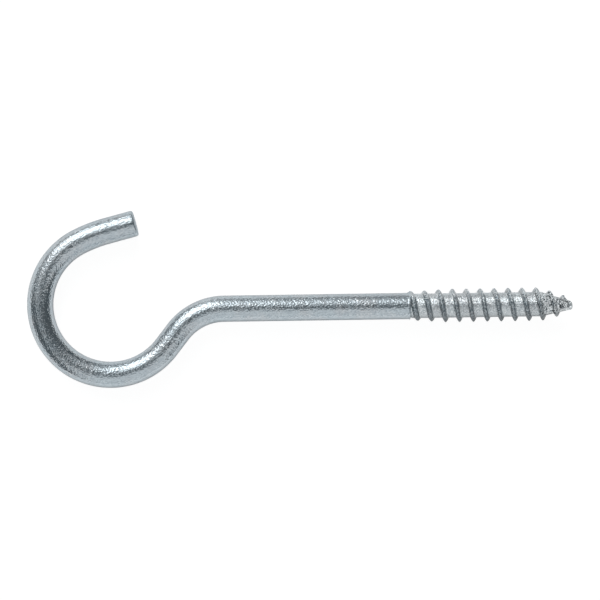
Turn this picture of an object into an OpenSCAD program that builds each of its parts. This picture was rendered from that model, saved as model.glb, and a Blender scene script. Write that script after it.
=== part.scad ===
// Open screw hook: one length of round steel wire. One end is rolled to a coarse
// right-hand wood thread with a blunt point, and the other is bent to an open hook.
// X runs along the straight shank towards the point, Y is up across the hook's plane,
// and Z is square to that plane. The origin is on the shank's axis at the shoulder,
// where the plain wire ends and the thread begins.

/* [Wire] */
// Diameter of the wire
wire_d = 5.8; // [4.6:0.1:6.6]
// Rounding of the sheared edge at the hook's free end
cut_round = 0.5; // [0.2:0.1:1]

/* [Hook] */
// Inside radius of the hook's bowl
bowl_r = 12.5; // [9:0.5:20]
// Angle that the bowl turns through
bowl_turn = 206; // [180:1:215]
// Inside radius of the easier bend behind the lip
lip_r = 30; // [20:1:60]
// Angle of the easier bend behind the lip
lip_turn = 11.5; // [5:0.5:25]
// Straight length of the lip, up to its cut end
lip_len = 6.5; // [2:0.5:12]

/* [Neck] */
// Inside radius of the bend that leads from the shank to the bowl
neck_r = 10; // [6:0.5:16]
// Angle of that bend
neck_turn = 52; // [30:1:60]
// Straight length between the neck and the bowl
neck_len = 4.1; // [1:0.1:12]

/* [Shank] */
// Plain shank, from the neck to the shoulder
shank_len = 40.5; // [10:0.5:90]

/* [Thread] */
// Length from the shoulder to the end of the point
thread_len = 35.9; // [24:0.1:60]
// Diameter over the crests
thread_d = 7.4; // [6.4:0.1:8.4]
// Diameter of the core between the ridges
core_d = 5.4; // [4:0.1:5.6]
// Advance of the ridge in one turn
pitch = 3.05; // [2.4:0.05:4]
// Width of the flat on top of the ridge
crest_w = 0.4; // [0.2:0.05:0.7]
// Angle between the two flanks of the ridge
flank_angle = 48; // [40:1:70]
// Distance from the shoulder to the first crest on the upper side
first_crest = 0.4; // [0.2:0.1:2]
// Share of its full height that the ridge has at the shoulder
shoulder_ridge = 0.5; // [0.3:0.05:1]
// Distance from the shoulder to where the ridge has its full height
growth_len = 8; // [3:0.5:15]

/* [Point] */
// Length of the tapered point
point_len = 6.8; // [5:0.1:12]
// Diameter of the core where the point's blunt nose begins
nose_d = 2; // [1:0.1:3]
// Length of the blunt nose
nose_len = 0.7; // [0.4:0.1:1.5]
// How far the nose lies below the axis, as it was pinched off in rolling
nose_droop = 0.4; // [0:0.05:1]
// Share of its full height that the ridge keeps along the point
point_ridge = 0.85; // [0.4:0.05:1]

/* [Hidden] */

zinc = [0.76, 0.79, 0.81];
wire_sides = 72;
turn_sides = 40;
nose_rings = 3;

// Bends are held on the wire's centre line
bowl_centre_r = bowl_r + wire_d / 2;
lip_centre_r = lip_r + wire_d / 2;
neck_centre_r = neck_r + wire_d / 2;

// Every second length of the wire is a hair thinner, and the others lap over its ends
lap = 0.1;
hair = 0.01;
thin_d = wire_d - 2 * hair;

// The ridge
ridge_h = (thread_d - core_d) / 2;
ridge_half = crest_w / 2 + ridge_h * tan(flank_angle / 2);
fade_len = pitch / 3;
nose_clearance = 0.1;

// Stations along the helix, numbered by the crest's place. The first turn lies in the shank
taper_x = thread_len - point_len;
nose_x = thread_len - nose_len;
first_station = -turn_sides - ceil(first_crest / pitch * turn_sides);
last_station = floor((nose_x - nose_clearance - ridge_half - first_crest) / pitch * turn_sides);
ridge_end = crest_x(last_station);

function crest_x(k) = first_crest + pitch * k / turn_sides;
function between(low, high, v) = max(low, min(high, v));
function ramp(x, from, to) = between(0, 1, (x - from) / (to - from));

// Radius of the core, and how far its centre has moved off the axis, at a place along X
function core_r(x) = core_d / 2 - (core_d - nose_d) / 2 * ramp(x, taper_x, nose_x);
function droop(x) = nose_droop * ramp(x, taper_x, thread_len);

// Height of the ridge where its crest is at x
function ridge_at(x) = ridge_h
    * ramp(x, first_crest - fade_len, first_crest)
    * (shoulder_ridge + (1 - shoulder_ridge) * ramp(x, first_crest, growth_len))
    * (1 - (1 - point_ridge) * ramp(x, taper_x, taper_x + pitch))
    * ramp(x, ridge_end, ridge_end - fade_len);

// Profile across the ridge as [place from the crest, share of the ridge's height]
profile = [
    [-pitch / 2, 0],
    [-ridge_half, 0],
    [-crest_w / 2, 1],
    [crest_w / 2, 1],
    [ridge_half, 0]
];
across = len(profile);

function on_core(x, turn, lift) =
    let(r = core_r(x) + lift)
    [x, r * cos(turn) - droop(x), r * sin(turn)];
function station(k) =
    let(turn = 360 * k / turn_sides, lift = ridge_at(crest_x(k)))
    [for (p = profile) on_core(crest_x(k) + p[0], turn, lift * p[1])];
function nose_ring(j) =
    let(a = 90 * j / nose_rings, x = nose_x + nose_len * sin(a), r = nose_d / 2 * cos(a))
    [for (s = [1:turn_sides])
        let(turn = 360 * (last_station + s) / turn_sides)
        [x, r * cos(turn) - droop(x), r * sin(turn)]];

// The threaded stem is one closed skin: a helical band from station to station, an inner
// cap where it starts inside the shank, and the rings of the nose where it ends
module threaded_stem() {
    count = last_station - first_station + 1;
    band = [for (k = [first_station:last_station]) each station(k)];
    rings = [for (j = [0:nose_rings - 1]) each nose_ring(j)];
    start_point = [crest_x(first_station), 0, 0];
    end_point = [thread_len, -droop(thread_len), 0];
    points = concat(band, rings, [start_point, end_point]);

    first_ring = len(band);
    start = len(band) + len(rings);
    end = start + 1;
    last = count - 1;
    seam = last - turn_sides;

    function on_band(i, m) = i * across + m;
    function on_ring(j, s) = first_ring + j * turn_sides + s % turn_sides;
    function right_edge(i) = i <= seam ? on_band(i + turn_sides, 0) : on_ring(0, i - seam - 1);

    function row_back(i) = [for (m = [across - 1:-1:0]) on_band(i, m)];

    ridge_faces = [for (i = [0:last - 1]) for (m = [0:across - 2])
        each cell(on_band(i, m), on_band(i + 1, m), on_band(i + 1, m + 1), on_band(i, m + 1))];
    root_faces = [for (i = [0:last - 1]) if (i != seam)
        each cell(on_band(i, across - 1), on_band(i + 1, across - 1),
            right_edge(i + 1), right_edge(i))];
    seam_faces = fan(on_band(seam + 1, across - 1),
        concat([on_ring(0, 0), on_ring(0, turn_sides - 1)], row_back(last), [on_band(seam, across - 1)]));
    start_faces = fan(start, concat([for (i = [0:turn_sides]) on_band(i, 0)], row_back(0)));
    nose_faces = concat(
        [for (j = [0:nose_rings - 2]) for (s = [0:turn_sides - 1])
            each cell(on_ring(j, s), on_ring(j, s + 1), on_ring(j + 1, s + 1), on_ring(j + 1, s))],
        fan(end, [for (s = [turn_sides:-1:0]) on_ring(nose_rings - 1, s)]));

    polyhedron(points, concat(ridge_faces, root_faces, seam_faces, start_faces, nose_faces));
}

// Two triangles that fill the four-sided cell a, b, c, d
function cell(a, b, c, d) = [[a, c, b], [a, d, c]];
// Triangles from one point to each edge of a rim
function fan(apex, rim) = [for (i = [0:len(rim) - 2]) [apex, rim[i], rim[i + 1]]];

// Wire that starts at the origin along X and bends to the left
module bend(centre_r, turn, d) {
    translate([0, centre_r, 0])
        rotate([0, 0, -90])
            rotate_extrude(angle = turn, $fn = 4 * wire_sides)
                translate([centre_r, 0])
                    circle(d = d, $fn = wire_sides);
}

// Its children, moved on to the end of such a bend
module past_bend(centre_r, turn) {
    translate([0, centre_r, 0])
        rotate([0, 0, turn])
            translate([0, -centre_r, 0])
                children();
}

// Straight wire along X, from one place to another
module straight(from, to) {
    translate([from, 0, 0])
        rotate([0, 90, 0])
            cylinder(h = to - from, d = wire_d, $fn = wire_sides);
}

// The last straight of the hook, with the edge of its sheared end rounded over
module lip() {
    flat_r = thin_d / 2 - cut_round;
    rotate([0, 90, 0])
        rotate_extrude($fn = wire_sides) {
            square([flat_r, lip_len]);
            square([thin_d / 2, lip_len - cut_round]);
            translate([flat_r, lip_len - cut_round])
                circle(r = cut_round, $fn = wire_sides);
        }
}

// The bowl, the easier bend that laps over its end, and the lip
module hook() {
    lap_turn = atan(lap / lip_centre_r);
    bend(bowl_centre_r, bowl_turn, thin_d);
    past_bend(bowl_centre_r, bowl_turn) {
        past_bend(lip_centre_r, -lap_turn)
            bend(lip_centre_r, lip_turn + 2 * lap_turn, wire_d);
        past_bend(lip_centre_r, lip_turn)
            lip();
    }
}

// The bend away from the shank, a short straight, and the hook turned back the other way
module neck_and_hook() {
    bend(neck_centre_r, neck_turn, thin_d);
    past_bend(neck_centre_r, neck_turn) {
        straight(-lap, neck_len + lap);
        translate([neck_len, 0, 0])
            mirror([0, 1, 0])
                hook();
    }
}

module screw_hook() {
    color(zinc) {
        threaded_stem();
        straight(-shank_len - lap, 0);
        translate([-shank_len, 0, 0])
            rotate([0, 0, 180])
                neck_and_hook();
    }
}

screw_hook();
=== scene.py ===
"""A zinc-plated screw hook on a pale studio floor, laid out as a Blender add-on.

The hook is one length of wire. Its half section is drawn from the cut end to the point, and a
Geometry Nodes tree turns it, raises the thread on it and bends it along the hook's path. Three
zinc finishes share their grain, marks and pits as shader node groups.
"""
import math
from collections import namedtuple

import bpy
from bpy.props import FloatProperty, FloatVectorProperty, IntProperty, PointerProperty
from bpy.types import Operator, Panel, PropertyGroup
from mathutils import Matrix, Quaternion, Vector


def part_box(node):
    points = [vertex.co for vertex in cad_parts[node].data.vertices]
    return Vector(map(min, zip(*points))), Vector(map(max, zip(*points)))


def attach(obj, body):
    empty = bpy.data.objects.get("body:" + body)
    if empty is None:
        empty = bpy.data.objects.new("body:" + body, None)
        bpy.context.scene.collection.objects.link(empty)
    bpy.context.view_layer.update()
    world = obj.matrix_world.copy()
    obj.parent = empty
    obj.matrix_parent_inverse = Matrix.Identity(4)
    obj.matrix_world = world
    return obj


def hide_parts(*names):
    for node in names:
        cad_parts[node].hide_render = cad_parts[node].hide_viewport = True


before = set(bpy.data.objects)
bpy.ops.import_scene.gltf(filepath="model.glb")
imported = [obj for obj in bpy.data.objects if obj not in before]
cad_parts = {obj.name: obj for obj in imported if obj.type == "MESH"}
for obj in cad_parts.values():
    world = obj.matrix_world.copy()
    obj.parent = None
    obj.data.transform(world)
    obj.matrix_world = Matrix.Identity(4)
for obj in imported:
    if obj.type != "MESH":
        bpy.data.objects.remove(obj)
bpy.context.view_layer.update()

bl_info = {
    "name": "Screw Hook",
    "version": (1, 0, 0),
    "blender": (4, 5, 0),
    "location": "View3D > Sidebar > Screw Hook",
    "description": "Makes a zinc-plated screw hook and the studio that it lies in",
    "category": "Add Mesh",
}

MM = 0.001
NODE = "screw_hook"
PIECE = "plated_screw_hook"
PLACE = "wire_place"
RIDGE = "ridge_share"

# The photograph's frame: its width in pixels, where the shoulder lies in it, and its scale
PHOTO_WIDTH = 600
SHOULDER_PIXEL = (408.8, 306.0)
PIXEL = 0.21905 * MM


def millimetres(name, description, default, low=0.0):
    """A length that is stored in metres and given here in millimetres."""
    return FloatProperty(name=name, description=description, default=default * MM, min=low * MM,
                         precision=5, subtype="DISTANCE", unit="LENGTH")


def degrees(name, description, default):
    """An angle that is stored in radians and given here in degrees."""
    return FloatProperty(name=name, description=description, default=math.radians(default),
                         subtype="ANGLE", unit="ROTATION")


def share(name, description, default):
    """A number from 0 to 1."""
    return FloatProperty(name=name, description=description, default=default, min=0, max=1,
                         subtype="FACTOR")


class HookSizes(PropertyGroup):
    """Sizes of the screw hook."""

    wire_d: millimetres("Wire Diameter", "Thickness of the wire", 5.8)
    cut_round: millimetres("Cut Rounding", "Rounding of the sheared edge", 0.5)
    bowl_r: millimetres("Bowl Radius", "Inside radius of the bowl", 12.5)
    bowl_turn: degrees("Bowl Turn", "Angle that the bowl turns through", 206)
    lip_r: millimetres("Lip Radius", "Inside radius of the easier bend behind the lip", 30)
    lip_turn: degrees("Lip Turn", "Angle of the easier bend behind the lip", 11.5)
    lip_len: millimetres("Lip Length", "Straight length up to the cut end", 6.5)
    neck_r: millimetres("Neck Radius", "Inside radius of the bend beside the shank", 10)
    neck_turn: degrees("Neck Turn", "Angle of the bend beside the shank", 52)
    neck_len: millimetres("Neck Length", "Straight length from the neck to the bowl", 4.1)
    shank_len: millimetres("Shank Length", "Plain shank, from the neck to the shoulder", 40.5)
    thread_len: millimetres("Thread Length", "From the shoulder to the end of the point", 35.9)
    thread_d: millimetres("Thread Diameter", "Diameter over the crests", 7.4)
    core_d: millimetres("Core Diameter", "Diameter between the ridges", 5.4)
    pitch: millimetres("Pitch", "Advance of the ridge in one turn", 3.05)
    crest_w: millimetres("Crest Width", "Width of the top of the ridge", 0.4)
    flank_angle: degrees("Flank Angle", "Angle between the two flanks of the ridge", 48)
    first_crest: millimetres("First Crest", "From the shoulder to the first crest above", 0.4)
    shoulder_ridge: share("Shoulder Ridge", "Share of its height that the ridge starts with", 0.5)
    growth_len: millimetres("Growth Length", "From the shoulder to the ridge's full height", 8)
    point_len: millimetres("Point Length", "Length of the tapered point", 6.8)
    nose_d: millimetres("Nose Diameter", "Diameter where the blunt nose begins", 2)
    nose_len: millimetres("Nose Length", "Length of the blunt nose", 0.7)
    nose_droop: millimetres("Nose Droop", "How far the nose lies below the axis", 0.4)
    point_ridge: share("Point Ridge", "Share of its height that the ridge keeps on the point", 0.85)


class HookForming(PropertyGroup):
    """Small marks that cutting, bending and rolling leave in the hook's shape."""

    ridge_power: FloatProperty(name="Ridge Power", description="How full the ridge's rounded profile is",
                               default=1.8, min=1, max=4)
    root_round: share("Root Rounding", "Rounding at the ridge's foot, as a share of its height", 0.08)
    ridge_waver: share("Ridge Waver", "How far the ridge's height wanders", 0.1)
    lead_burr: millimetres("Lead Burr", "Height of the burr where the ridge leaves the shoulder", 0.2)
    wire_wave: millimetres("Wire Wave", "Height of the long waves in the wire's surface", 0.012)
    wave_len: millimetres("Wave Length", "Length of those waves", 2.6, low=0.1)
    nib_lumps: millimetres("Nib Lumps", "Height of the lumps where the point was pinched off", 0.42)
    lump_len: millimetres("Lump Length", "Length of those lumps", 0.75, low=0.1)
    cut_rough: millimetres("Cut Roughness", "Unevenness of the sheared face", 0.08)
    seed: IntProperty(name="Seed", description="Chooses another set of random marks", default=7)


class ZincLook(PropertyGroup):
    """Colours and marks of the zinc plate."""

    bright: FloatVectorProperty(name="Bright Zinc", description="Colour of the clean plate",
                                default=(0.540, 0.600, 0.632), subtype="COLOR", min=0, max=1)
    dull: FloatVectorProperty(name="Dull Zinc", description="Colour of the duller patches",
                              default=(0.388, 0.445, 0.482), subtype="COLOR", min=0, max=1)
    burnished: FloatVectorProperty(name="Burnished Zinc", description="Colour of the plate in the roots",
                                   default=(0.870, 0.910, 0.920), subtype="COLOR", min=0, max=1)
    # Used for the dark spots on the pinched point, and as painted shade on the thread's under edge and
    # lower flanks
    dark_spots_and_shade: FloatVectorProperty(name="Soot", description="Colour of the dark spots on the pinched point",
                              default=(0.085, 0.095, 0.100), subtype="COLOR", min=0, max=1)
    warm: FloatVectorProperty(name="Warm Tint", description="Tint that the passivation leaves in places",
                              default=(0.600, 0.590, 0.590), subtype="COLOR", min=0, max=1)
    wire_roughness: share("Wire Roughness", "Roughness of the drawn wire", 0.15)
    thread_roughness: share("Thread Roughness", "Roughness of the burnished roots", 0.19)
    crest_roughness: share("Crest Roughness", "Roughness of the ridge", 0.2)
    cut_roughness: share("Cut Roughness", "Roughness of the sheared face", 0.42)


class StudioLook(PropertyGroup):
    """Light, floor and camera."""

    key: FloatProperty(name="Key Light", description="Brightness of the upper softbox, where 1 is white",
                       default=2.2, min=0)
    halo: FloatProperty(name="Halo Light", description="Brightness of the wall round it, where 1 is white",
                        default=0.47, min=0)
    fill: FloatProperty(name="Fill Light", description="Brightness of the lower softbox, where 1 is white",
                        default=0.7, min=0)
    left: FloatProperty(name="Left Light",
                        description="Brightness of the low strip on the left, where 1 is white",
                        default=0.25, min=0)
    side: FloatProperty(name="Side Light",
                        description="Brightness of a low light that only the floor shows",
                        default=8.0, min=0)
    room: FloatVectorProperty(name="Room Light", description="Light from the rest of the room",
                              default=(0.125, 0.14, 0.15), subtype="COLOR", min=0, max=1)
    floor_colour: share("Floor Colour", "How pale the floor is", 0.9)
    floor_seen: share("Floor Seen", "How much of the floor's lit colour the camera sees", 0.14)
    glow: share("Floor Glow", "What is added to that, so that the background is white", 0.93)
    glow_in_metal: share("Glow in Metal", "What is added to the floor that the metal reflects", 0.28)
    floor_dim: share("Floor Dimming", "How much dimmer the floor's far side is in the metal", 0.65)
    dim_way: degrees("Dimming Way", "The way towards the floor's dimmer side, from the X axis", 65)
    dim_start: millimetres("Dimming Start", "How far that way the floor starts to dim", 8)
    dim_end: millimetres("Dimming End", "How far that way the floor is at its dimmest", 28)
    lens: FloatProperty(name="Lens", description="Focal length of the camera's lens in millimetres",
                        default=180, min=10)
    roll: degrees("Roll", "How far the camera is turned about its view", -0.84)


# How the nodes of a tree are laid out: how many to a row, and how far apart they are
NODES_IN_ROW = 16
NODE_WIDTH = 200
NODE_HEIGHT = 260

# The Mix node's sockets for colours, whose names are those of its sockets for other values too
MIX_FIRST = 6
MIX_SECOND = 7
MIX_RESULT = 2

# How strong each finer layer of noise is beside the one before it
NOISE_ROUGHNESS = 0.55


class Field:
    """The output of a node. Arithmetic on it adds Math nodes, so that a formula reads as one."""

    def __init__(self, socket):
        self.socket = socket
        self.tree = socket.id_data

    def __add__(self, other):
        return calculate("ADD", self, other)

    def __radd__(self, other):
        return calculate("ADD", other, self)

    def __sub__(self, other):
        return calculate("SUBTRACT", self, other)

    def __rsub__(self, other):
        return calculate("SUBTRACT", other, self)

    def __mul__(self, other):
        return calculate("MULTIPLY", self, other)

    def __rmul__(self, other):
        return calculate("MULTIPLY", other, self)

    def __truediv__(self, other):
        return calculate("DIVIDE", self, other)

    def __rtruediv__(self, other):
        return calculate("DIVIDE", other, self)

    def __neg__(self):
        return calculate("MULTIPLY", self, -1.0)


def connect(socket, value):
    """Links a field to a node's input, or sets a plain value there."""
    if isinstance(value, Field):
        socket.id_data.links.new(value.socket, socket)
    else:
        socket.default_value = value


def add_node(tree, kind, inputs=None, **settings):
    """A new node with its settings made and its inputs filled."""
    node = tree.nodes.new(kind)
    column = len(tree.nodes) % NODES_IN_ROW
    row = len(tree.nodes) // NODES_IN_ROW
    node.location = (NODE_WIDTH * column, -NODE_HEIGHT * row)
    for key, value in settings.items():
        setattr(node, key, value)
    for key, value in (inputs or {}).items():
        connect(node.inputs[key], value)
    return node


def calculate(operation, *values):
    """One Math node on fields and plain numbers."""
    tree = next(value.tree for value in values if isinstance(value, Field))
    node = add_node(tree, "ShaderNodeMath", dict(enumerate(values)), operation=operation)
    return Field(node.outputs[0])


def ramp(field, start, end):
    """0 up to start, 1 from end, and a straight rise between them."""
    node = add_node(field.tree, "ShaderNodeMapRange", {
        "Value": field, "From Min": start, "From Max": end})
    return Field(node.outputs["Result"])


def vector(tree, x, y, z):
    """Three numbers as one vector."""
    node = add_node(tree, "ShaderNodeCombineXYZ", {"X": x, "Y": y, "Z": z})
    return Field(node.outputs[0])


def parts_of(field):
    """The three numbers of a vector."""
    node = add_node(field.tree, "ShaderNodeSeparateXYZ", {0: field})
    return [Field(output) for output in node.outputs]


def noise(place, scale=1.0, detail=2.0, seed=0.0):
    """Smooth random values from about 0 to 1."""
    inputs = {"Vector": place, "W": seed, "Scale": scale, "Detail": detail, "Roughness": NOISE_ROUGHNESS}
    node = add_node(place.tree, "ShaderNodeTexNoise", inputs, noise_dimensions="4D")
    return Field(node.outputs[0])


def new_group(name, kind, takes, gives):
    """A node group with named inputs and outputs: (group, its inputs as fields, its output node)."""
    tree = bpy.data.node_groups.new(name, kind)
    for in_out, sockets in (("INPUT", takes), ("OUTPUT", gives)):
        for title, socket_type in sockets.items():
            tree.interface.new_socket(name=title, in_out=in_out, socket_type=socket_type)
    source = tree.nodes.new("NodeGroupInput")
    sink = tree.nodes.new("NodeGroupOutput")
    fields = {title: Field(source.outputs[title]) for title in takes}
    return tree, fields, sink


def use_group(tree, group, inputs):
    """Places a group in a tree and returns its outputs as fields."""
    kind = "GeometryNodeGroup" if tree.bl_idname == "GeometryNodeTree" else "ShaderNodeGroup"
    node = add_node(tree, kind, node_tree=group)
    for title, value in inputs.items():
        connect(node.inputs[title], value)
    return {output.name: Field(output) for output in node.outputs}


def own_properties(group):
    """The properties that a PropertyGroup declares, as (key, property)."""
    return [(key, group.bl_rna.properties[key]) for key in group.__annotations__]


# Geometry

COLUMNS = 72
WIRE_STEP = 0.4 * MM
MERGE_DISTANCE = 0.002 * MM
CUT_FACE_RINGS = 6
CUT_EDGE_RINGS = 5
NOSE_RINGS = 8

# The shoulder's edge and its burr, as millimetres past the shoulder and off the wire's surface.
# The wire's finish ends at the place past the burr, and the thread's begins there
SHOULDER_EDGE = ((0, 0), (0.06, 0.03), (0.12, 0.1), (0.2, 0.14), (0.26, 0.04), (0.3, -0.16), (0.36, -0.3),
                 (0.5, -0.3), (0.62, -0.2))
THREAD_FINISH_FROM = 0.3 * MM

# The ridge fades in over a third of a turn, and ends this far short of the nose
FADES_IN_TURN = 3.0
NOSE_CLEARANCE = 0.1 * MM
# How fast the ridge's height wanders along it, and the noise at which it has its stated height
WAVER_SCALE = 0.9
WAVER_LEVEL = 0.65
# Share of its full height from which the ridge is finished as a ridge
LOW_RIDGE = 0.4

# Noise of 0 to 1 swings by half, so it is doubled to swing by a stated height. The wave's level
# keeps the wire inside its stated diameter, and the lumps' level leaves the nib's size as it is
NOISE_SWING = 2.0
WAVE_LEVEL = 1.4
LUMP_LEVEL = 0.53
# Share of the point that has lumps, and share of the nose's diameter where marks fade at the axis
NIB_SHARE = 0.7
AXIS_SHARE = 0.4

# How fast the sheared face rises and falls, the noise at which it has its stated place, and the share
# of its rounded edge that is finished as the face is
SHEAR_SCALE = 0.8
SHEAR_LEVEL = 0.8
CUT_FINISH_SHARE = 0.4

RIDGE_SIZES = ("thread_len", "thread_d", "core_d", "pitch", "crest_w", "flank_angle", "first_crest",
               "shoulder_ridge", "growth_len", "point_len", "nose_len", "point_ridge", "ridge_power",
               "root_round", "ridge_waver", "lead_burr", "seed")
FINISHES = ("Wire Finish", "Thread Finish", "Cut Finish")


def bent_length(sizes):
    """Length of the wire along its centre line, from the shank's end to the cut end."""
    half_wire = sizes.wire_d / 2
    bends = (
        (sizes.neck_r, sizes.neck_turn),
        (sizes.bowl_r, sizes.bowl_turn),
        (sizes.lip_r, sizes.lip_turn),
    )
    bent = sum((radius + half_wire) * turn for radius, turn in bends)
    return bent + sizes.neck_len + sizes.lip_len


def evenly(start, end, step):
    """Places from start up to but not including end, about a step apart."""
    count = math.ceil((end - start) / step)
    return [start + (end - start) * i / count for i in range(count)]


def half_section(sizes):
    """The straight wire's outline from the cut end to the nose, as (place along X, radius)."""
    wire_r = sizes.wire_d / 2
    core_r = sizes.core_d / 2
    nose_r = sizes.nose_d / 2
    start = -sizes.shank_len - bent_length(sizes)
    flat_r = wire_r - sizes.cut_round
    taper = sizes.thread_len - sizes.point_len
    nose = sizes.thread_len - sizes.nose_len

    points = [(start, flat_r * i / CUT_FACE_RINGS) for i in range(CUT_FACE_RINGS)]
    for i in range(CUT_EDGE_RINGS):
        turn = math.pi / 2 * i / CUT_EDGE_RINGS
        points.append((start + sizes.cut_round * (1 - math.cos(turn)),
                       flat_r + sizes.cut_round * math.sin(turn)))
    points += [(place, wire_r) for place in evenly(start + sizes.cut_round, 0, WIRE_STEP)]
    points += [(along * MM, wire_r + off * MM) for along, off in SHOULDER_EDGE]
    step = sizes.pitch / COLUMNS
    first = sizes.first_crest + step * math.ceil((points[-1][0] - sizes.first_crest) / step + 0.5)
    for i in range(int((nose - first) / step)):
        place = first + step * i
        tapered = min(1, max(0, (place - taper) / (nose - taper)))
        points.append((place, core_r - (core_r - nose_r) * tapered))
    for i in range(NOSE_RINGS + 1):
        turn = math.pi / 2 * i / NOSE_RINGS
        points.append((nose + sizes.nose_len * math.sin(turn), nose_r * math.cos(turn)))
    return points


def bend_group():
    """A round bend in the wire: how far it carries a point, and how far it has turned there."""
    takes = dict.fromkeys(("Travelled", "Start", "Heading", "Radius", "Turn", "Side"), "NodeSocketFloat")
    gives = dict.fromkeys(("X", "Y", "Turned", "Next Start", "Next Heading"), "NodeSocketFloat")
    tree, given, sink = new_group("wire_bend", "GeometryNodeTree", takes, gives)
    length = given["Radius"] * given["Turn"]
    way = calculate("MAXIMUM", given["Travelled"] - given["Start"], 0.0)
    turned = calculate("MINIMUM", way, length) / given["Radius"]
    ahead = given["Radius"] * calculate("SINE", turned)
    aside = given["Side"] * given["Radius"] * (1.0 - calculate("COSINE", turned))
    cosine = calculate("COSINE", given["Heading"])
    sine = calculate("SINE", given["Heading"])
    connect(sink.inputs["X"], ahead * cosine - aside * sine)
    connect(sink.inputs["Y"], ahead * sine + aside * cosine)
    connect(sink.inputs["Turned"], turned * given["Side"])
    connect(sink.inputs["Next Start"], given["Start"] + length)
    connect(sink.inputs["Next Heading"], given["Heading"] + given["Side"] * given["Turn"])
    return tree


def straight_group():
    """A straight length of the wire: how far it carries a point."""
    takes = dict.fromkeys(("Travelled", "Start", "Heading", "Length"), "NodeSocketFloat")
    gives = dict.fromkeys(("X", "Y", "Next Start", "Next Heading"), "NodeSocketFloat")
    tree, given, sink = new_group("wire_straight", "GeometryNodeTree", takes, gives)
    way = calculate("MAXIMUM", given["Travelled"] - given["Start"], 0.0)
    way = calculate("MINIMUM", way, given["Length"])
    connect(sink.inputs["X"], way * calculate("COSINE", given["Heading"]))
    connect(sink.inputs["Y"], way * calculate("SINE", given["Heading"]))
    connect(sink.inputs["Next Start"], given["Start"] + given["Length"])
    connect(sink.inputs["Next Heading"], given["Heading"])
    return tree


def ridge_group():
    """The rolled ridge: how far it stands off the core at a place along the wire and round it."""
    takes = dict.fromkeys(("along", "turns") + RIDGE_SIZES, "NodeSocketFloat")
    gives = dict.fromkeys(("height", "share"), "NodeSocketFloat")
    tree, given, sink = new_group("rolled_ridge", "GeometryNodeTree", takes, gives)
    full = (given["thread_d"] - given["core_d"]) * 0.5
    flank = full * calculate("TANGENT", given["flank_angle"] * 0.5)
    half = given["crest_w"] * 0.5 + flank
    taper = given["thread_len"] - given["point_len"]
    end = given["thread_len"] - given["nose_len"] - half - NOSE_CLEARANCE
    fade = given["pitch"] / FADES_IN_TURN

    from_crest = (given["along"] - given["first_crest"]) / given["pitch"] - given["turns"]
    from_crest = calculate("WRAP", from_crest, 0.5, -0.5) * given["pitch"]
    crest = given["along"] - from_crest
    started = ramp(crest, given["first_crest"] - fade, given["first_crest"])
    grown = ramp(crest, given["first_crest"], given["growth_len"])
    on_point = ramp(crest, taper, taper + given["pitch"])
    height = full * started
    height = height * (given["shoulder_ridge"] + (1.0 - given["shoulder_ridge"]) * grown)
    height = height * (1.0 - (1.0 - given["point_ridge"]) * on_point)
    height = height * ramp(crest, end, end - fade * 0.5)
    wander = noise(vector(tree, crest / MM, 0.0, 0.0), scale=WAVER_SCALE, detail=3.0, seed=given["seed"])
    height = height * (1.0 + given["ridge_waver"] * (wander - WAVER_LEVEL))
    burr = ramp(crest, given["first_crest"] + given["pitch"] * 0.5, given["first_crest"])
    height = height + given["lead_burr"] * burr * started

    profile = 1.0 - calculate("POWER", calculate("ABSOLUTE", from_crest) / half, given["ridge_power"])
    profile = calculate("SMOOTH_MAX", profile, 0.0, given["root_round"])
    connect(sink.inputs["height"], height * profile)
    connect(sink.inputs["share"], profile * ramp(height, 0.0, full * LOW_RIDGE))
    return tree


def forming_marks(size, along, radius, place_mm):
    """Long waves in the wire and lumps on the nib, as a height off the surface."""
    seed = size["seed"]
    wave = noise(place_mm, scale=MM / size["wave_len"], seed=seed) - WAVE_LEVEL
    lump = noise(place_mm, scale=MM / size["lump_len"], seed=seed + 1.0) - LUMP_LEVEL
    nib_from = size["thread_len"] - size["point_len"] * NIB_SHARE
    nib = ramp(along, nib_from, size["thread_len"] - size["nose_len"])
    off_axis = ramp(radius, 0.0, size["nose_d"] * AXIS_SHARE)
    return (wave * size["wire_wave"] + lump * size["nib_lumps"] * nib) * NOISE_SWING * off_axis


def wire_path(tree, size, back):
    """The bends and straights behind the shank, as the outputs of one group node for each."""
    half_wire = size["wire_d"] * 0.5
    bend = bend_group()
    straight = straight_group()
    plan = (
        (bend, {"Radius": size["neck_r"] + half_wire, "Turn": size["neck_turn"], "Side": 1.0}),
        (straight, {"Length": size["neck_len"]}),
        (bend, {"Radius": size["bowl_r"] + half_wire, "Turn": size["bowl_turn"], "Side": -1.0}),
        (bend, {"Radius": size["lip_r"] + half_wire, "Turn": size["lip_turn"], "Side": -1.0}),
        (straight, {"Length": size["lip_len"]}),
    )
    stretches = []
    start = 0.0
    heading = math.pi
    for group, inputs in plan:
        stretch = use_group(tree, group, {"Travelled": back, "Start": start, "Heading": heading, **inputs})
        start = stretch["Next Start"]
        heading = stretch["Next Heading"]
        stretches.append(stretch)
    return stretches


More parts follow.
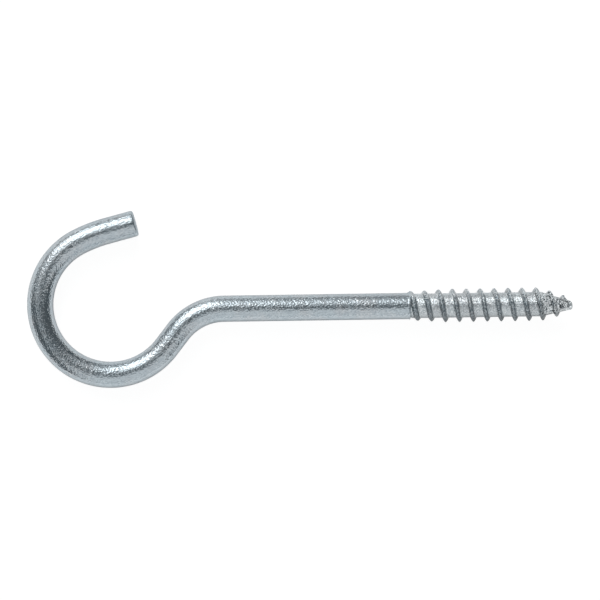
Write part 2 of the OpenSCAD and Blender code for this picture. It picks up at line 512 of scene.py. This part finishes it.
def hook_tree(sizes, forming):
    """The tree that turns, threads and bends the wire. Its input is the wire's half section."""
    tree = bpy.data.node_groups.new("bent_threaded_wire", "GeometryNodeTree")
    tree.is_modifier = True
    tree.interface.new_socket(name="Half Section", in_out="INPUT", socket_type="NodeSocketGeometry")
    tree.interface.new_socket(name="Hook", in_out="OUTPUT", socket_type="NodeSocketGeometry")
    names = {}
    for group in (sizes, forming):
        for key, prop in own_properties(group):
            kind = "NodeSocketInt" if prop.type == "INT" else "NodeSocketFloat"
            tree.interface.new_socket(name=prop.name, in_out="INPUT", socket_type=kind)
            names[key] = prop.name
    for name in FINISHES:
        tree.interface.new_socket(name=name, in_out="INPUT", socket_type="NodeSocketMaterial")
    source = add_node(tree, "NodeGroupInput")
    size = {key: Field(source.outputs[name]) for key, name in names.items()}
    outline = Field(source.outputs["Half Section"])

    # A grid with a row for each point of the half section, and columns round the wire
    rows = add_node(tree, "GeometryNodeAttributeDomainSize", {"Geometry": outline}, component="MESH")
    grid = add_node(tree, "GeometryNodeMeshGrid", {
        "Vertices X": Field(rows.outputs["Point Count"]), "Vertices Y": COLUMNS + 1})
    index = Field(add_node(tree, "GeometryNodeInputIndex").outputs[0])
    row = calculate("FLOOR", (index + 0.5) / (COLUMNS + 1.0))
    turns = (index - row * (COLUMNS + 1.0)) / float(COLUMNS)
    sample = add_node(tree, "GeometryNodeSampleIndex", data_type="FLOAT_VECTOR", domain="POINT")
    connect(sample.inputs["Geometry"], outline)
    connect(sample.inputs["Value"], Field(add_node(tree, "GeometryNodeInputPosition").outputs[0]))
    connect(sample.inputs["Index"], row)
    along, radius, _ = parts_of(Field(sample.outputs["Value"]))
    cosine = calculate("COSINE", turns * math.tau)
    sine = calculate("SINE", turns * math.tau)

    # The ridge, and the small marks of making
    ridge = {"along": along, "turns": turns, **{key: size[key] for key in RIDGE_SIZES}}
    ridge = use_group(tree, ridge_group(), ridge)
    place_mm = vector(tree, along / MM, radius * cosine / MM, radius * sine / MM)
    uneven = noise(place_mm, scale=SHEAR_SCALE, detail=3.0, seed=size["seed"] + 2.0) - SHEAR_LEVEL
    core = calculate("MINIMUM", radius, size["core_d"] * 0.5)
    ridged = calculate("MAXIMUM", radius, core + ridge["height"])
    radius = ridged + forming_marks(size, along, radius, place_mm)
    place = vector(tree, along, radius * cosine, radius * sine)

    # The bends, with each point carried along the path and set off square to it
    back = calculate("MAXIMUM", -size["shank_len"] - along, 0.0)
    stretches = wire_path(tree, size, back)
    first, *others = [stretch["Turned"] for stretch in stretches if "Turned" in stretch]
    heading = sum(others, first) + math.pi
    wire_end = stretches[-1]["Next Start"]
    across_x = calculate("SINE", heading)
    across_y = -calculate("COSINE", heading)
    taper = size["thread_len"] - size["point_len"]
    x = calculate("MAXIMUM", along, -size["shank_len"])
    y = -size["nose_droop"] * ramp(along, taper, size["thread_len"])
    for stretch in stretches:
        x = x + stretch["X"]
        y = y + stretch["Y"]
    push = uneven * size["cut_rough"] * ramp(back, wire_end - size["cut_round"], wire_end)
    x = x + radius * cosine * across_x + push * across_y
    y = y + radius * cosine * across_y - push * across_x

    shape = grid
    for name, kind, value in ((PLACE, "FLOAT_VECTOR", place), (RIDGE, "FLOAT", ridge["share"])):
        shape = add_node(tree, "GeometryNodeStoreNamedAttribute", {
            "Geometry": Field(shape.outputs[0]), "Name": name}, data_type=kind, domain="POINT")
        connect(shape.inputs["Value"], value)
    shape = add_node(tree, "GeometryNodeSetPosition", {
        "Geometry": Field(shape.outputs[0]), "Position": vector(tree, x, y, radius * sine)})
    shape = add_node(tree, "GeometryNodeMergeByDistance", {
        "Geometry": Field(shape.outputs[0]), "Distance": MERGE_DISTANCE})
    for kind in ("FlipFaces", "Triangulate", "SetShadeSmooth", "RealizeInstances"):
        shape = add_node(tree, "GeometryNode" + kind, {0: Field(shape.outputs[0])})

    # The plain wire, the thread and the sheared end each get their own finish
    kept = add_node(tree, "GeometryNodeInputNamedAttribute", {"Name": PLACE}, data_type="FLOAT_VECTOR")
    kept_along = parts_of(Field(kept.outputs[0]))[0]
    cut_from = size["cut_round"] * CUT_FINISH_SHARE - size["shank_len"] - wire_end
    where = (
        True,
        calculate("GREATER_THAN", kept_along, THREAD_FINISH_FROM),
        calculate("LESS_THAN", kept_along, cut_from),
    )
    for name, chosen in zip(FINISHES, where):
        shape = add_node(tree, "GeometryNodeSetMaterial", {
            "Geometry": Field(shape.outputs[0]), "Selection": chosen,
            "Material": Field(source.outputs[name])})
    add_node(tree, "NodeGroupOutput", {"Hook": Field(shape.outputs[0])})
    return tree


def set_modifier(modifier, values):
    """Sets a Geometry Nodes modifier's inputs, found by their names, through their identifiers."""
    for socket in modifier.node_group.interface.items_tree:
        if socket.in_out == "INPUT" and socket.name in values:
            modifier[socket.identifier] = values[socket.name]


def make_hook(sizes, forming, finishes):
    """The whole hook as one plain mesh object at the origin."""
    line = bpy.data.meshes.new("half_section")
    points = half_section(sizes)
    line.from_pydata([(along, radius, 0) for along, radius in points],
                     [(i, i + 1) for i in range(len(points) - 1)], [])
    piece = bpy.data.objects.new(PIECE, line)
    bpy.context.scene.collection.objects.link(piece)
    modifier = piece.modifiers.new("wire", "NODES")
    modifier.node_group = hook_tree(sizes, forming)
    values = dict(zip(FINISHES, finishes))
    for group in (sizes, forming):
        values.update({prop.name: getattr(group, key) for key, prop in own_properties(group)})
    set_modifier(modifier, values)
    evaluated = piece.evaluated_get(bpy.context.evaluated_depsgraph_get())
    mesh = bpy.data.meshes.new_from_object(evaluated)
    piece.modifiers.clear()
    piece.data = mesh
    mesh.name = PIECE
    # The grid starts with an empty slot of its own
    if mesh.materials[0] is None:
        mesh.materials.pop(index=0)
    bpy.data.meshes.remove(line)
    if not mesh.polygons:
        raise RuntimeError("the hook's mesh came out empty")
    return piece


# Zinc finishes

# The grain: the scale of its swells beside its patches, how much each gives to the shade and to the
# height, and the levels of noise that turn from dark to light
SWELL_SCALE = 0.42
SWELLS_IN_SHADE = 0.35
PATCHES_IN_SHADE = 0.65
SWELLS_IN_HEIGHT = 0.65
PATCHES_IN_HEIGHT = 1.3
GRAIN_LEVELS = (0.38, 0.62)
STREAK_LEVELS = (0.35, 0.65)
# Where a pit's edge and its floor begin, from its middle, as shares of the spacing
PIT_EDGE = (0.16, 0.06)
TINT_SCALE = 0.22
TINT_LEVELS = (0.42, 0.62)
TINT_STRENGTH = 0.5
# Tint of the metal where it is seen at a shallow angle
SHALLOW_TINT = (0.7, 0.7, 0.7, 1.0)

# Shares of the ridge's profile at which the finish of its flanks, and of its crest, begins and is full
FLANK_SHARES = (0.05, 0.35)
CREST_SHARES = (0.72, 0.98)
# Millimetres past the shoulder where the pinched point begins and is reached
PINCHED_PLACES = (28.0, 30.0)
# Millimetres from the shank's axis towards the lip's side: where painted shade on the ridge's flanks
# begins and is full, where painted shade darkens the flanks of its lower half, and where it darkens the
# whole under edge
FLANK_SHADE_SIDE = (2.2, -0.6)
LOWER_HALF = (0.0, -1.0)
UNDER_EDGE = (-1.0, -3.4)
# Levels of the lumps' shade between which a dark spot grows
SPOT_LEVELS = (0.36, 0.12)


def grain_group():
    """Zinc's crystals: patches of two sizes, as a shade from 0 to 1 and a height."""
    takes = {"Place": "NodeSocketVector", "Patch": "NodeSocketFloat", "Stretch": "NodeSocketFloat",
             "Slope": "NodeSocketFloat"}
    gives = {"Shade": "NodeSocketFloat", "Height": "NodeSocketFloat"}
    tree, given, sink = new_group("zinc_grain", "ShaderNodeTree", takes, gives)
    x, y, z = parts_of(given["Place"])
    place = vector(tree, x / given["Stretch"] / given["Patch"], y / given["Patch"], z / given["Patch"])
    swells = noise(place, scale=SWELL_SCALE, detail=1.0, seed=1.0)
    patches = noise(place, detail=1.5, seed=2.0)
    shade = swells * SWELLS_IN_SHADE + patches * PATCHES_IN_SHADE
    height = swells * SWELLS_IN_HEIGHT + patches * PATCHES_IN_HEIGHT
    connect(sink.inputs["Shade"], ramp(shade, *GRAIN_LEVELS))
    connect(sink.inputs["Height"], height * given["Patch"] * given["Slope"] * MM)
    return tree


def streak_group():
    """Fine marks that run along or round the wire, as a shade from 0 to 1 and a height."""
    takes = {"Place": "NodeSocketVector", "Along": "NodeSocketFloat", "Across": "NodeSocketFloat",
             "Depth": "NodeSocketFloat"}
    gives = {"Shade": "NodeSocketFloat", "Height": "NodeSocketFloat"}
    tree, given, sink = new_group("forming_streaks", "ShaderNodeTree", takes, gives)
    x, y, z = parts_of(given["Place"])
    place = vector(tree, x / given["Along"], y / given["Across"], z / given["Across"])
    streaks = noise(place, seed=3.0)
    connect(sink.inputs["Shade"], ramp(streaks, *STREAK_LEVELS))
    connect(sink.inputs["Height"], streaks * given["Depth"])
    return tree


def pit_group():
    """Scattered small pits, as a mask and a height."""
    takes = {"Place": "NodeSocketVector", "Spacing": "NodeSocketFloat", "Depth": "NodeSocketFloat"}
    gives = {"Mask": "NodeSocketFloat", "Height": "NodeSocketFloat"}
    tree, given, sink = new_group("plating_pits", "ShaderNodeTree", takes, gives)
    cells = add_node(tree, "ShaderNodeTexVoronoi", {
        "Vector": given["Place"], "Scale": 1.0 / given["Spacing"], "Randomness": 1.0})
    mask = ramp(Field(cells.outputs["Distance"]), *PIT_EDGE)
    connect(sink.inputs["Mask"], mask)
    connect(sink.inputs["Height"], -mask * given["Depth"])
    return tree


def tint_group():
    """The passivation's faint tints: broad patches, as a mask."""
    takes = {"Place": "NodeSocketVector"}
    gives = {"Mask": "NodeSocketFloat"}
    tree, given, sink = new_group("passivation_tint", "ShaderNodeTree", takes, gives)
    patches = noise(given["Place"], scale=TINT_SCALE, seed=4.0)
    connect(sink.inputs["Mask"], ramp(patches, *TINT_LEVELS))
    return tree


def colour(value):
    """A colour with full alpha."""
    return (*value, 1.0)


def mixed(tree, factor, first, second):
    """A blend of two colours."""
    node = add_node(tree, "ShaderNodeMix", data_type="RGBA")
    connect(node.inputs["Factor"], factor)
    connect(node.inputs[MIX_FIRST], first)
    connect(node.inputs[MIX_SECOND], second)
    return Field(node.outputs[MIX_RESULT])


def zinc_material(name, groups, look, recipe):
    """A zinc finish. Its recipe returns shade, mask of dark spots and painted shade, bright colour,
    roughness, height.
    """
    material = bpy.data.materials.new(name)
    material.use_nodes = True
    tree = material.node_tree
    tree.nodes.clear()
    place = add_node(tree, "ShaderNodeAttribute", attribute_name=PLACE)
    place = add_node(tree, "ShaderNodeVectorMath", {0: Field(place.outputs["Vector"]), "Scale": 1 / MM},
                     operation="SCALE")
    place = Field(place.outputs["Vector"])
    shade, spots_and_painted_shade, bright, rough, height = recipe(tree, groups, look, place)
    tint = use_group(tree, groups["tint"], {"Place": place})["Mask"]
    clean = mixed(tree, tint * TINT_STRENGTH, bright, colour(look.warm))
    plate = mixed(tree, shade, colour(look.dull), clean)
    bump = add_node(tree, "ShaderNodeBump", {"Height": height, "Distance": 1.0, "Strength": 1.0})
    # Under the mask the plate turns dark: spots on the point, and painted shade on the thread's under side
    zinc = add_node(tree, "ShaderNodeBsdfPrincipled", {
        "Base Color": mixed(tree, spots_and_painted_shade, plate, colour(look.dark_spots_and_shade)),
        "Metallic": 1.0,
        "Roughness": rough,
        "Specular Tint": SHALLOW_TINT,
        "Normal": Field(bump.outputs["Normal"])})
    add_node(tree, "ShaderNodeOutputMaterial", {"Surface": Field(zinc.outputs["BSDF"])})
    return material


def drawn_wire(tree, groups, look, place):
    """Mottled plate over cold-drawn wire, with drawing lines along it."""
    grain = use_group(tree, groups["grain"], {
        "Place": place, "Patch": 0.35, "Stretch": 1.3, "Slope": 0.26})
    lines = use_group(tree, groups["streaks"], {
        "Place": place, "Along": 9.0, "Across": 0.16, "Depth": 0.003 * MM})
    pits = use_group(tree, groups["pits"], {
        "Place": place, "Spacing": 1.1, "Depth": 0.01 * MM})
    grain_shade = 0.6
    line_shade = 0.4
    least_shade = 0.06
    pit_shade = 0.4
    most_rough = 0.04
    grain_gloss = 0.08
    shade = grain["Shade"] * grain_shade + lines["Shade"] * line_shade + least_shade
    shade = shade - pits["Mask"] * pit_shade
    rough = look.wire_roughness + most_rough - grain["Shade"] * grain_gloss
    height = grain["Height"] + lines["Height"] + pits["Height"]
    return shade, 0.0, colour(look.bright), rough, height


def thread_shade(grain, lumps, rings, pits, masks):
    """How clean the plate is on the thread: even in the roots, mottled on the flanks and the point."""
    grain_shade = 0.45
    ring_shade = 0.25
    least_shade = 0.3
    crest_loss = 0.2
    shade = grain["Shade"] * grain_shade + rings["Shade"] * ring_shade + least_shade
    shade = shade - pits["Mask"] - masks["crest"] * crest_loss
    point_contrast = 2.0
    point_loss = 0.8
    flank_contrast = 1.4
    flank_loss = 0.7
    on_point = lumps["Shade"] * point_contrast - point_loss
    on_flank = grain["Shade"] * flank_contrast - flank_loss
    return shade + masks["pinched"] * on_point + masks["flank"] * on_flank


def thread_height(grain, lumps, rings, pits, masks, along):
    """The thread's fine relief: lumps on the flanks and the point, and rings and a lean in the roots."""
    flank = masks["flank"]
    pinched = masks["pinched"]
    lean_slope = 0.15 * MM
    lean_loss = 0.4
    flank_lumps = 0.9
    flank_smoothing = 0.2
    point_smoothing = 0.5
    ring_loss = 0.9
    lean = along * lean_slope * (1.0 - flank * lean_loss)
    lumpy = calculate("MAXIMUM", pinched, flank * flank_lumps)
    height = grain["Height"] * (1.0 - pinched * point_smoothing - flank * flank_smoothing)
    height = height + lumps["Height"] * lumpy
    return height + lean + rings["Height"] * (1.0 - flank * ring_loss) + pits["Height"]


def rolled_thread(tree, groups, look, place):
    """Burnished roots with marks that run round them, between duller ridges and a pinched point."""
    grain = use_group(tree, groups["grain"], {
        "Place": place, "Patch": 0.28, "Stretch": 0.9, "Slope": 0.48})
    lumps = use_group(tree, groups["grain"], {
        "Place": place, "Patch": 0.4, "Stretch": 1.0, "Slope": 0.85})
    rings = use_group(tree, groups["streaks"], {
        "Place": place, "Along": 0.12, "Across": 2.5, "Depth": 0.055 * MM})
    pits = use_group(tree, groups["pits"], {
        "Place": place, "Spacing": 1.0, "Depth": 0.05 * MM})
    ridge = Field(add_node(tree, "ShaderNodeAttribute", attribute_name=RIDGE).outputs["Fac"])
    along, side, _ = parts_of(place)
    flank = ramp(ridge, *FLANK_SHARES)
    crest = ramp(ridge, *CREST_SHARES)
    pinched = ramp(along, *PINCHED_PLACES)
    masks = {"flank": flank, "crest": crest, "pinched": pinched}

    # Painted shade: the thread turns darker towards its under edge and on its lower half's flanks, besides
    # the dark spots on the point
    under_edge_shade = 0.5
    lower_flank_shade = 0.2
    spots_and_painted_shade = pinched * ramp(lumps["Shade"], *SPOT_LEVELS) + ramp(side, *UNDER_EDGE) * under_edge_shade
    spots_and_painted_shade = spots_and_painted_shade + ramp(side, *LOWER_HALF) * flank * lower_flank_shade

    # Painted light and shade: the ridge's flanks keep the lighter burnished colour on the upper side and
    # turn darker towards the lower side
    most_flank_shade = 0.85
    painted_flank_shade = flank * ramp(side, *FLANK_SHADE_SIDE) * most_flank_shade * (1.0 - pinched)
    bright = mixed(tree, painted_flank_shade, colour(look.burnished), colour(look.bright))

    point_gloss = 0.08
    rough = look.thread_roughness + (look.crest_roughness - look.thread_roughness) * flank
    rough = rough - pinched * point_gloss
    shade = thread_shade(grain, lumps, rings, pits, masks)
    height = thread_height(grain, lumps, rings, pits, masks, along)
    return shade, spots_and_painted_shade, bright, rough, height


def sheared_end(tree, groups, look, place):
    """Dull plate over the rough face that the shear left."""
    grain = use_group(tree, groups["grain"], {
        "Place": place, "Patch": 0.4, "Stretch": 1.0, "Slope": 0.3})
    tears = use_group(tree, groups["streaks"], {
        "Place": place, "Along": 1.0, "Across": 0.3, "Depth": 0.03 * MM})
    grain_shade = 0.5
    tear_shade = 0.3
    grain_rough = 0.1
    shade = grain["Shade"] * grain_shade + tears["Shade"] * tear_shade
    rough = look.cut_roughness + grain["Shade"] * grain_rough
    return shade, 0.0, colour(look.bright), rough, grain["Height"] + tears["Height"]


def zinc_finishes(look):
    """The three finishes, in the order of FINISHES."""
    groups = {
        "grain": grain_group(),
        "streaks": streak_group(),
        "pits": pit_group(),
        "tint": tint_group(),
    }
    plans = {
        "zinc_on_drawn_wire": drawn_wire,
        "zinc_on_rolled_thread": rolled_thread,
        "zinc_on_sheared_end": sheared_end,
    }
    return [zinc_material(name, groups, look, recipe) for name, recipe in plans.items()]


# Studio

FLOOR_HALF = 3.0
SOFTBOX_DISTANCE = 1.5
CLIP_START = 0.01
CLIP_END = 20.0

# Where each softbox stands and how large it is, in degrees as the hook sees it: its angle from +X
# and from straight up, its width and height, and how far it is rolled
Placement = namedtuple("Placement", "azimuth zenith wide high roll")
SOFTBOXES = {
    "key": Placement(azimuth=119.0, zenith=51.0, wide=34.0, high=37.0, roll=-5.0),
    "halo": Placement(azimuth=116.5, zenith=46.5, wide=82.0, high=73.0, roll=20.0),
    "fill": Placement(azimuth=279.0, zenith=53.0, wide=76.0, high=78.0, roll=0.0),
    "left": Placement(azimuth=190.0, zenith=83.0, wide=60.0, high=14.0, roll=0.0),
    "side": Placement(azimuth=100.0, zenith=62.0, wide=30.0, high=20.0, roll=0.0),
}
# This one lights the floor, and isn't seen in the metal
UNSEEN_SOFTBOX = "side"


def direction(azimuth, zenith):
    """The way towards a place in the sky, by its angle from +X and its angle from straight up."""
    aside = math.sin(zenith)
    return Vector((aside * math.cos(azimuth), aside * math.sin(azimuth), math.cos(zenith)))


def softbox(name, centre, brightness):
    """A rectangular softbox at its placement, which shows this bright as the hook sees it."""
    place = Placement(*map(math.radians, SOFTBOXES[name]))
    data = bpy.data.lights.new(name + "_softbox", "AREA")
    data.shape = "RECTANGLE"
    data.size = 2 * SOFTBOX_DISTANCE * math.tan(place.wide / 2)
    data.size_y = 2 * SOFTBOX_DISTANCE * math.tan(place.high / 2)
    data.energy = math.pi * data.size * data.size_y * brightness
    lamp = bpy.data.objects.new(name + "_softbox", data)
    lamp.visible_camera = False
    lamp.visible_glossy = name != UNSEEN_SOFTBOX
    way = direction(place.azimuth, place.zenith)
    lamp.location = centre + way * SOFTBOX_DISTANCE
    lamp.rotation_mode = "QUATERNION"
    rolled = Quaternion((0, 0, 1), place.roll)
    lamp.rotation_quaternion = (-way).to_track_quat("-Z", "Y") @ rolled
    bpy.context.scene.collection.objects.link(lamp)


def pale_floor(look, wire_low, thread_low):
    """A floor under the hook as it comes to rest, on its wire at one end and its crests at the other."""
    slope = (thread_low.z - wire_low.z) / (thread_low.x - wire_low.x)
    corners = [(x, y, wire_low.z + slope * (x - wire_low.x))
               for x, y in ((-FLOOR_HALF, -FLOOR_HALF), (FLOOR_HALF, -FLOOR_HALF),
                            (FLOOR_HALF, FLOOR_HALF), (-FLOOR_HALF, FLOOR_HALF))]
    mesh = bpy.data.meshes.new("floor")
    mesh.from_pydata(corners, [], [(0, 1, 2, 3)])
    mesh.materials.append(floor_material(look))
    floor = bpy.data.objects.new("floor", mesh)
    bpy.context.scene.collection.objects.link(floor)
    return floor


def floor_material(look):
    """A matt floor that the camera sees as white, and the metal as pale, dimmer beyond the shank."""
    material = bpy.data.materials.new("white_acrylic")
    material.use_nodes = True
    tree = material.node_tree
    tree.nodes.clear()
    rays = add_node(tree, "ShaderNodeLightPath")
    by_camera = Field(rays.outputs["Is Camera Ray"])
    by_object = Field(rays.outputs["Is Glossy Ray"]) + Field(rays.outputs["Is Transmission Ray"])
    x, y, _ = parts_of(Field(add_node(tree, "ShaderNodeNewGeometry").outputs["Position"]))
    away = calculate("MINIMUM", x, 0.0) * math.cos(look.dim_way) + y * math.sin(look.dim_way)
    dimmed = 1.0 - look.floor_dim * ramp(away, look.dim_start, look.dim_end)
    white = look.floor_colour * dimmed
    white = white + by_camera * (look.floor_seen - white)
    body = add_node(tree, "ShaderNodeBsdfDiffuse", {"Color": white})
    strength = by_camera * look.glow + by_object * look.glow_in_metal * dimmed
    glow = add_node(tree, "ShaderNodeEmission", {"Color": (1, 1, 1, 1), "Strength": strength})
    lit = add_node(tree, "ShaderNodeAddShader", {0: Field(body.outputs[0]), 1: Field(glow.outputs[0])})
    add_node(tree, "ShaderNodeOutputMaterial", {"Surface": Field(lit.outputs[0])})
    return material


def room_light(look):
    """An even, dim light from the rest of the room."""
    world = bpy.data.worlds.new("room")
    world.use_nodes = True
    tree = world.node_tree
    tree.nodes.clear()
    back = add_node(tree, "ShaderNodeBackground", {"Color": colour(look.room), "Strength": 1.0})
    add_node(tree, "ShaderNodeOutputWorld", {"Surface": Field(back.outputs[0])})
    bpy.context.scene.world = world


def overhead_camera(look):
    """A camera that looks straight down and frames the hook as the photograph does."""
    data = bpy.data.cameras.new("overhead")
    data.lens = look.lens
    camera = bpy.data.objects.new("overhead", data)
    middle = PHOTO_WIDTH / 2
    right = (middle - SHOULDER_PIXEL[0]) * PIXEL
    up = (SHOULDER_PIXEL[1] - middle) * PIXEL
    cosine = math.cos(look.roll)
    sine = math.sin(look.roll)
    distance = PHOTO_WIDTH * PIXEL * data.lens / data.sensor_width
    camera.location = (right * cosine - up * sine, right * sine + up * cosine, distance)
    camera.rotation_euler = (0, 0, look.roll)
    data.clip_start = CLIP_START
    data.clip_end = CLIP_END
    bpy.context.scene.collection.objects.link(camera)
    bpy.context.scene.camera = camera


# The add-on

class SCREWHOOK_OT_hook(Operator):
    """Make the bent and threaded wire with its zinc finishes"""

    bl_idname = "screwhook.hook"
    bl_label = "Make the Screw Hook"

    def execute(self, context):
        scene = context.scene
        finishes = zinc_finishes(scene.zinc_look)
        piece = make_hook(scene.hook_sizes, scene.hook_forming, finishes)
        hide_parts(NODE)
        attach(piece, "root")
        return {"FINISHED"}


class SCREWHOOK_OT_studio(Operator):
    """Make the pale floor, the soft light and the camera"""

    bl_idname = "screwhook.studio"
    bl_label = "Make the Studio"

    def execute(self, context):
        scene = context.scene
        sizes = scene.hook_sizes
        look = scene.studio_look
        low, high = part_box(NODE)
        wire_low = Vector((low[0] + sizes.wire_d / 2, 0, -sizes.wire_d / 2))
        thread_low = Vector((sizes.growth_len, 0, -sizes.thread_d / 2))
        pale_floor(look, wire_low, thread_low)
        centre = Vector(((low[0] + high[0]) / 2, (low[1] + high[1]) / 2, 0))
        for name in SOFTBOXES:
            softbox(name, centre, getattr(look, name))
        room_light(look)
        overhead_camera(look)
        scene.view_settings.view_transform = "Standard"
        return {"FINISHED"}


class SCREWHOOK_PT_panel(Panel):
    """Lists what the add-on makes, with its sizes and looks"""

    bl_idname = "SCREWHOOK_PT_panel"
    bl_label = "Screw Hook"
    bl_space_type = "VIEW_3D"
    bl_region_type = "UI"
    bl_category = "Screw Hook"

    def draw(self, context):
        scene = context.scene
        for operator, groups in (
                (SCREWHOOK_OT_hook, (scene.hook_sizes, scene.hook_forming, scene.zinc_look)),
                (SCREWHOOK_OT_studio, (scene.studio_look,))):
            self.layout.operator(operator.bl_idname)
            for group in groups:
                column = self.layout.column()
                for key, _ in own_properties(group):
                    column.prop(group, key)


GROUPS = {"hook_sizes": HookSizes, "hook_forming": HookForming, "zinc_look": ZincLook,
          "studio_look": StudioLook}
CLASSES = (*GROUPS.values(), SCREWHOOK_OT_hook, SCREWHOOK_OT_studio, SCREWHOOK_PT_panel)


def register():
    """Adds the operators, the panel and their settings."""
    for cls in CLASSES:
        bpy.utils.register_class(cls)
    for name, group in GROUPS.items():
        setattr(bpy.types.Scene, name, PointerProperty(type=group))


def unregister():
    """Takes them away again."""
    for name in GROUPS:
        delattr(bpy.types.Scene, name)
    for cls in reversed(CLASSES):
        bpy.utils.unregister_class(cls)


def main():
    """Makes everything in order."""
    register()
    bpy.ops.screwhook.studio()
    bpy.ops.screwhook.hook()


if __name__ == "__main__":
    main()
